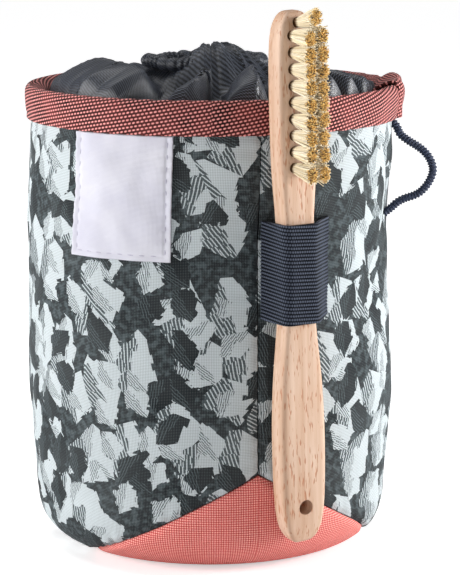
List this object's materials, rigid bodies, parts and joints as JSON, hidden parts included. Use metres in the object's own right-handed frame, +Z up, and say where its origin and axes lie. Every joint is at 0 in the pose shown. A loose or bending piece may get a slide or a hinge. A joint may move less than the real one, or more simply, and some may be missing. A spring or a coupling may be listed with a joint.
{
  "type": "climbing chalk bag",
  "caption": "Soft oval cup-shaped bag for climbing chalk, with a taped rim, a gathered collar, a cord loop, a blank label and an elastic holder with a wooden brush.",
  "frame": {"origin": "middle of the bag's flat underside, on the surface that the bag stands on", "axes": "+Z up the bag towards its mouth, -Y to the front where the brush is, +X to the right seen from the front"},
  "size_m": [0.1492, 0.1358, 0.1997],
  "materials": {
    "printed_cloth": "fine plain weave, matte, printed in dark grey and pale grey-blue",
    "base_cloth": "coarse coral canvas, matte",
    "rim_tape": "coral twill tape with diagonal rows, matte",
    "collar_cloth": "thin charcoal nylon twill with a soft sheen",
    "label_cloth": "off-white woven label, blank, with a stitched border",
    "elastic": "ribbed dark navy elastic",
    "cord": "dark navy braided cord",
    "beech": "pale sanded beech with fine brown flecks",
    "bristle": "cream natural bristle with yellow-brown tips"
  },
  "bodies": {
    "root": {"base_panel": "base_cloth", "side_panel_left": "printed_cloth", "side_panel_right": "printed_cloth", "rim_binding": "rim_tape", "binding_overlap": "rim_tape", "collar": "collar_cloth", "collar_hem": "collar_cloth", "side_label": "label_cloth", "brush_holder": "elastic", "cord_loop": "cord", "brush_handle": "beech", "brush_bristles": "bristle"}
  },
  "joints": []
}
